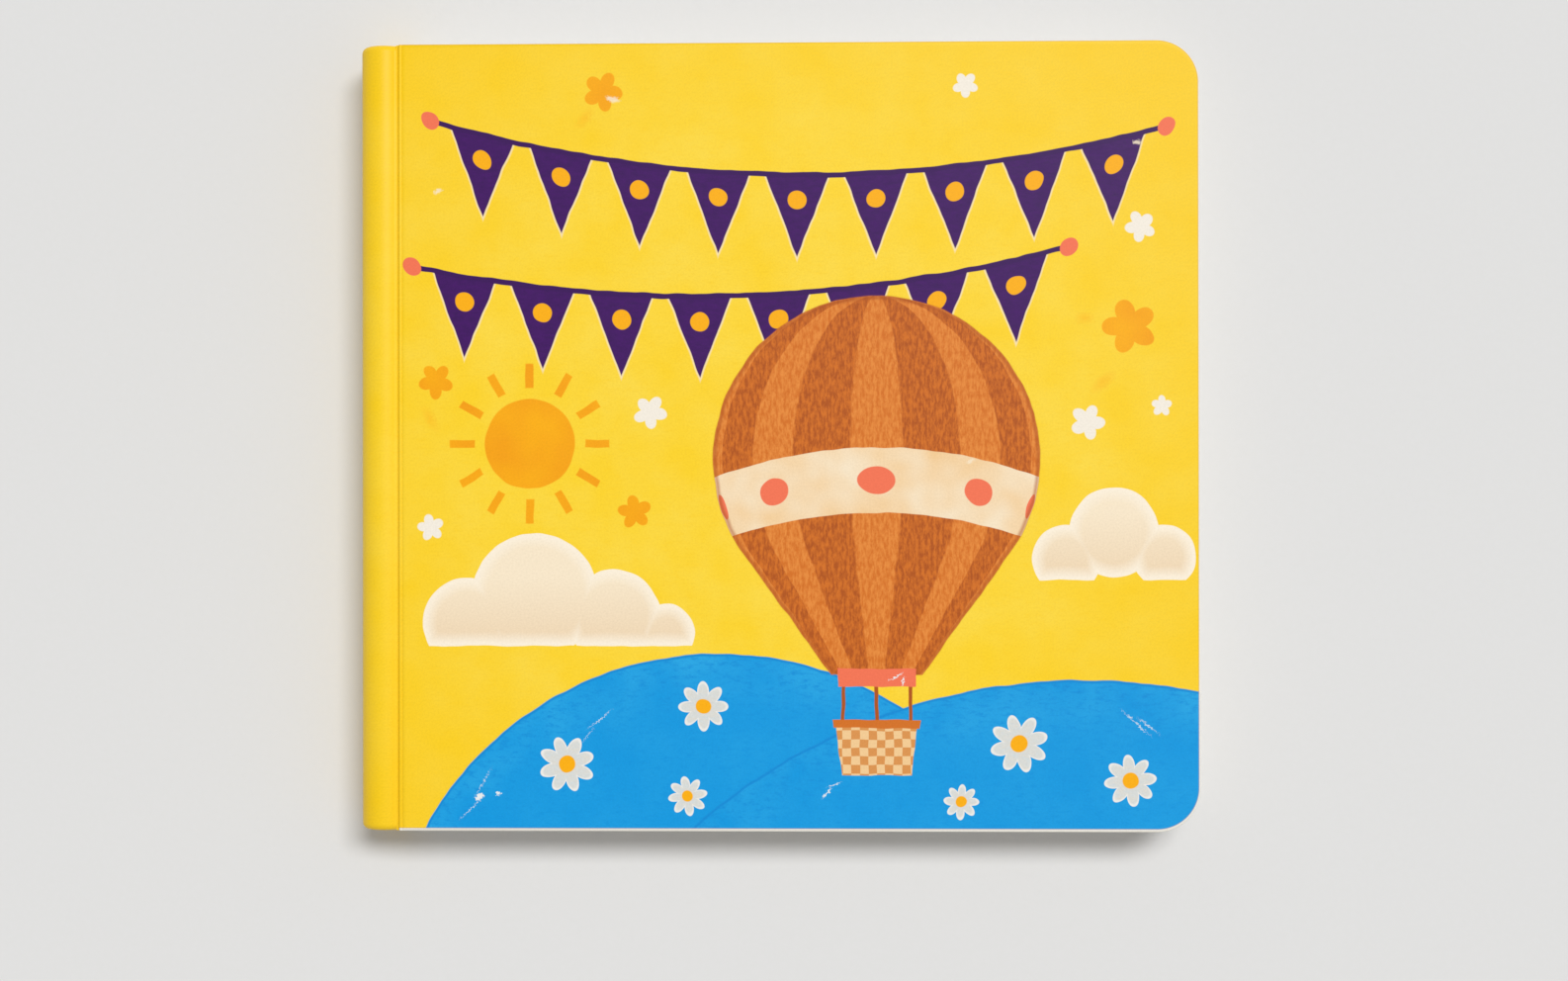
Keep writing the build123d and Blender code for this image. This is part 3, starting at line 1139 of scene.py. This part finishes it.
bm = bmesh.new()
bmesh.ops.create_grid(bm, x_segments=1, y_segments=1, size=TABLE_SIZE / 2)
bmesh.ops.translate(bm, verts=bm.verts[:], vec=(0, 0, -TABLE_DROP))
mesh = bpy.data.meshes.new("table")
bm.to_mesh(mesh)
bm.free()
table = bpy.data.objects.new("table", mesh)
bpy.context.scene.collection.objects.link(table)
mesh.materials.append(table_paint)
print("table", TABLE_SIZE, "m wide")

# %% [markdown]
# A soft light stands high up beyond the book's head and its fore edge, and the pale room
# fills in the rest. The light is wider than it is high, so it is two soft lamps side by
# side. The room is a little brighter to the camera and in reflections than the light
# that it gives, which keeps reflections pale and the shadow clear.

# %% Light the room
KEY_STRENGTH = 1.02
KEY_ANGLE = 15.0
KEY_DIRECTIONS = (Vector((0.42, 0.38, 1.0)), Vector((0.17, 0.38, 1.0)))
ROOM_STRENGTH = 0.38
ROOM_LOOK = 0.8

for number, direction in enumerate(KEY_DIRECTIONS):
    lamp = bpy.data.lights.new(f"key_{number}", "SUN")
    lamp.energy = KEY_STRENGTH
    lamp.angle = math.radians(KEY_ANGLE)
    key = bpy.data.objects.new(f"key_{number}", lamp)
    key.rotation_euler = direction.to_track_quat("Z", "Y").to_euler()
    bpy.context.scene.collection.objects.link(key)

world = bpy.data.worlds.new("room")
world.use_nodes = True
background = world.node_tree.nodes["Background"]
background.inputs["Color"].default_value = (1.0, 0.99, 0.975, 1.0)
seen = add_node(world.node_tree, "LightPath")
glossy = Signal(seen.socket.node.outputs["Is Glossy Ray"])
strength = seen.maths("MAXIMUM", glossy) * (ROOM_LOOK - ROOM_STRENGTH) + ROOM_STRENGTH
world.node_tree.links.new(strength.socket, background.inputs["Strength"])
bpy.context.scene.world = world
print("lamps", len(KEY_DIRECTIONS), "of", KEY_STRENGTH, "and a room of", ROOM_STRENGTH)

# %% [markdown]
# The camera looks straight down from half a metre, a little off the middle and turned
# by a degree or so, as a hand-held one is. A longish lens keeps the book's sides from
# leaning.

# %% Place the camera
CAMERA_PLACE = (0.0144, -0.0117, 0.5125)
CAMERA_TURN = (0.170, 1.523, -0.075)
CAMERA_LENS, CAMERA_SENSOR = 60, 36

camera = bpy.data.cameras.new("camera")
camera.lens = CAMERA_LENS
camera.sensor_width = CAMERA_SENSOR
viewer = bpy.data.objects.new("camera", camera)
viewer.location = CAMERA_PLACE
viewer.rotation_euler = [math.radians(angle) for angle in CAMERA_TURN]
bpy.context.scene.collection.objects.link(viewer)
bpy.context.scene.camera = viewer
bpy.context.scene.view_settings.view_transform = "Standard"
print("camera", CAMERA_PLACE, "with a lens of", CAMERA_LENS, "mm")
